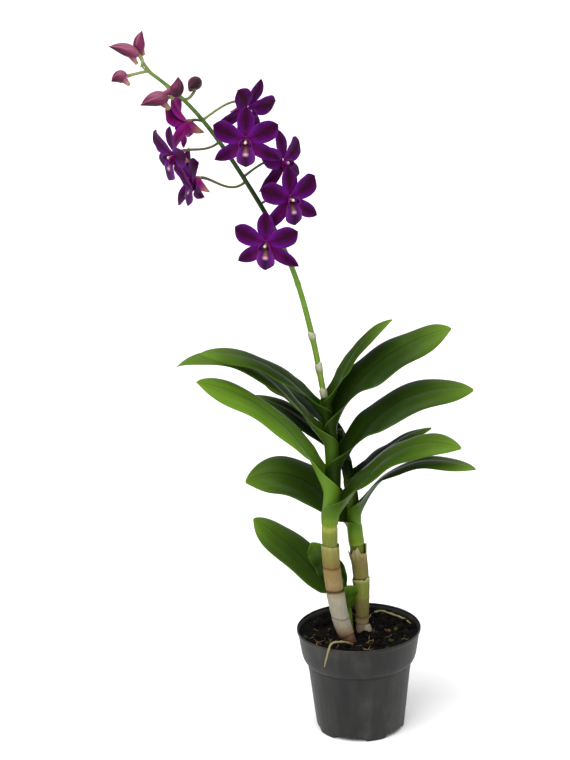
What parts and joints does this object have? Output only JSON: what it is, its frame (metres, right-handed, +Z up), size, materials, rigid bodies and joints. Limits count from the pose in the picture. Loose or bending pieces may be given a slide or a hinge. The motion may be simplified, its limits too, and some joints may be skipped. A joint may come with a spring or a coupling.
{
  "type": "potted dendrobium orchid",
  "caption": "Flowering dendrobium orchid with leafy canes and an arching flower stem, growing in a round plastic nursery pot.",
  "frame": {"origin": "centre of the pot's base, in the plane it stands on", "axes": "+Z up along the pot's axis; -Y is the front; the flower stem arches towards -X"},
  "size_m": [0.3251, 0.1322, 0.6951],
  "materials": {
    "pot": "thin thermoformed plastic, satin, dusty",
    "growing_medium": "moist peat with bark chips and fibres",
    "cane": "smooth living stem, green to olive, with rings",
    "dry_sheath": "dry papery sheath, tan to off-white",
    "leaf": "leathery green leaf, satin",
    "flower_stem": "smooth green stem with paler bracts",
    "petal": "soft petal, deep violet to plum",
    "bud": "soft bud, dusky mauve",
    "root": "pale corky air root"
  },
  "bodies": {
    "root": {"pot": "pot", "growing_medium": "growing_medium", "cane_front": "cane", "cane_back": "cane", "cane_young": "cane", "bloom_1": "petal", "bloom_2": "petal", "bloom_3": "petal", "bloom_4": "petal", "bloom_5": "petal", "bloom_6": "petal", "bloom_7": "petal", "bloom_8": "petal", "bud_1": "bud", "bud_2": "bud", "bud_3": "bud", "bud_4": "bud", "bud_5": "bud", "bud_6": "bud", "dry_sheath_back_high": "dry_sheath", "dry_sheath_back_low": "dry_sheath", "dry_sheath_front_high": "dry_sheath", "dry_sheath_front_low": "dry_sheath", "flower_stem": "flower_stem", "leaf_back_left_1": "leaf", "leaf_back_left_2": "leaf", "leaf_back_left_3": "leaf", "leaf_back_right_1": "leaf", "leaf_back_right_2": "leaf", "leaf_front_left_1": "leaf", "leaf_front_left_2": "leaf", "leaf_front_left_3": "leaf", "leaf_front_right_1": "leaf", "leaf_front_right_2": "leaf", "leaf_front_right_3": "leaf", "leaf_front_right_4": "leaf", "leaf_young_left_1": "leaf", "leaf_young_left_2": "leaf", "leaf_young_right_1": "leaf", "root_front": "root", "root_right": "root"}
  },
  "joints": []
}
